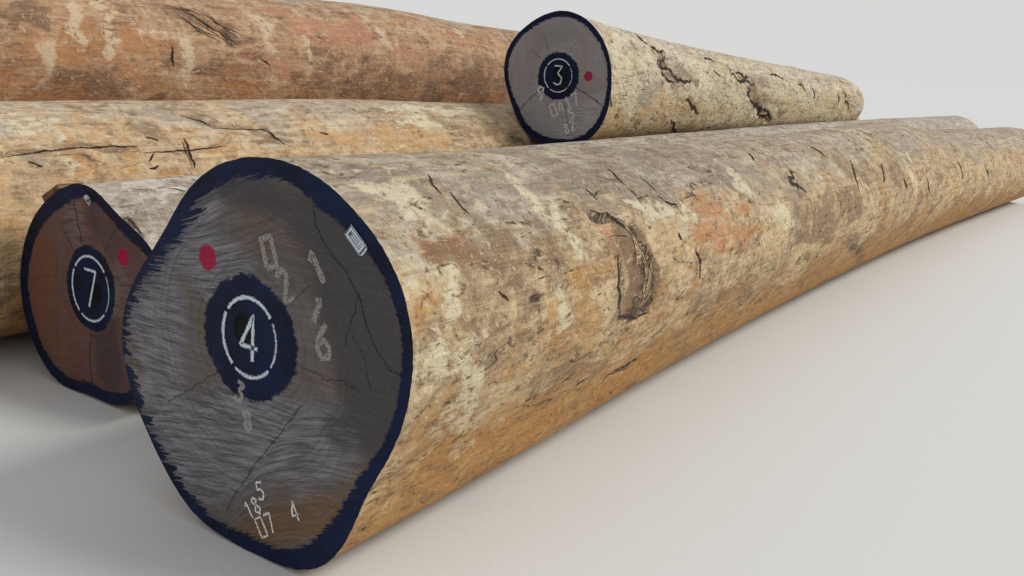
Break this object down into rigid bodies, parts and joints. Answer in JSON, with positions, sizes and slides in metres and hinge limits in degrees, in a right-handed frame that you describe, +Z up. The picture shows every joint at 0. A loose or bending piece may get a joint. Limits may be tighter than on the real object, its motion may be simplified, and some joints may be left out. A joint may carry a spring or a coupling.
{
  "type": "heap of logs",
  "caption": "Heap of large debarked round logs lying side by side with more in the grooves on top; near sawn ends have dark blue painted rims and discs.",
  "frame": {"origin": "centre of the heap's footprint, on the ground", "axes": "+X along the logs from the near sawn ends to the far ends, +Y from the front log to the back of the heap, +Z up"},
  "size_m": [13.064, 4.1564, 1.5557],
  "materials": {
    "log_wood": "weathered debarked sapwood",
    "splinter_wood": "rough split wood",
    "label_plastic": "matt",
    "nail_steel": "dull",
    "tag_metal": "dull"
  },
  "bodies": {
    "root": {"front_log": "log_wood", "second_log": "log_wood", "third_log": "log_wood", "rear_log": "log_wood", "upper_log": "log_wood", "back_log": "log_wood", "rim_splinter": "splinter_wood", "front_tag": "label_plastic", "front_nail": "nail_steel", "second_tag": "tag_metal", "second_nail": "nail_steel"}
  },
  "joints": []
}
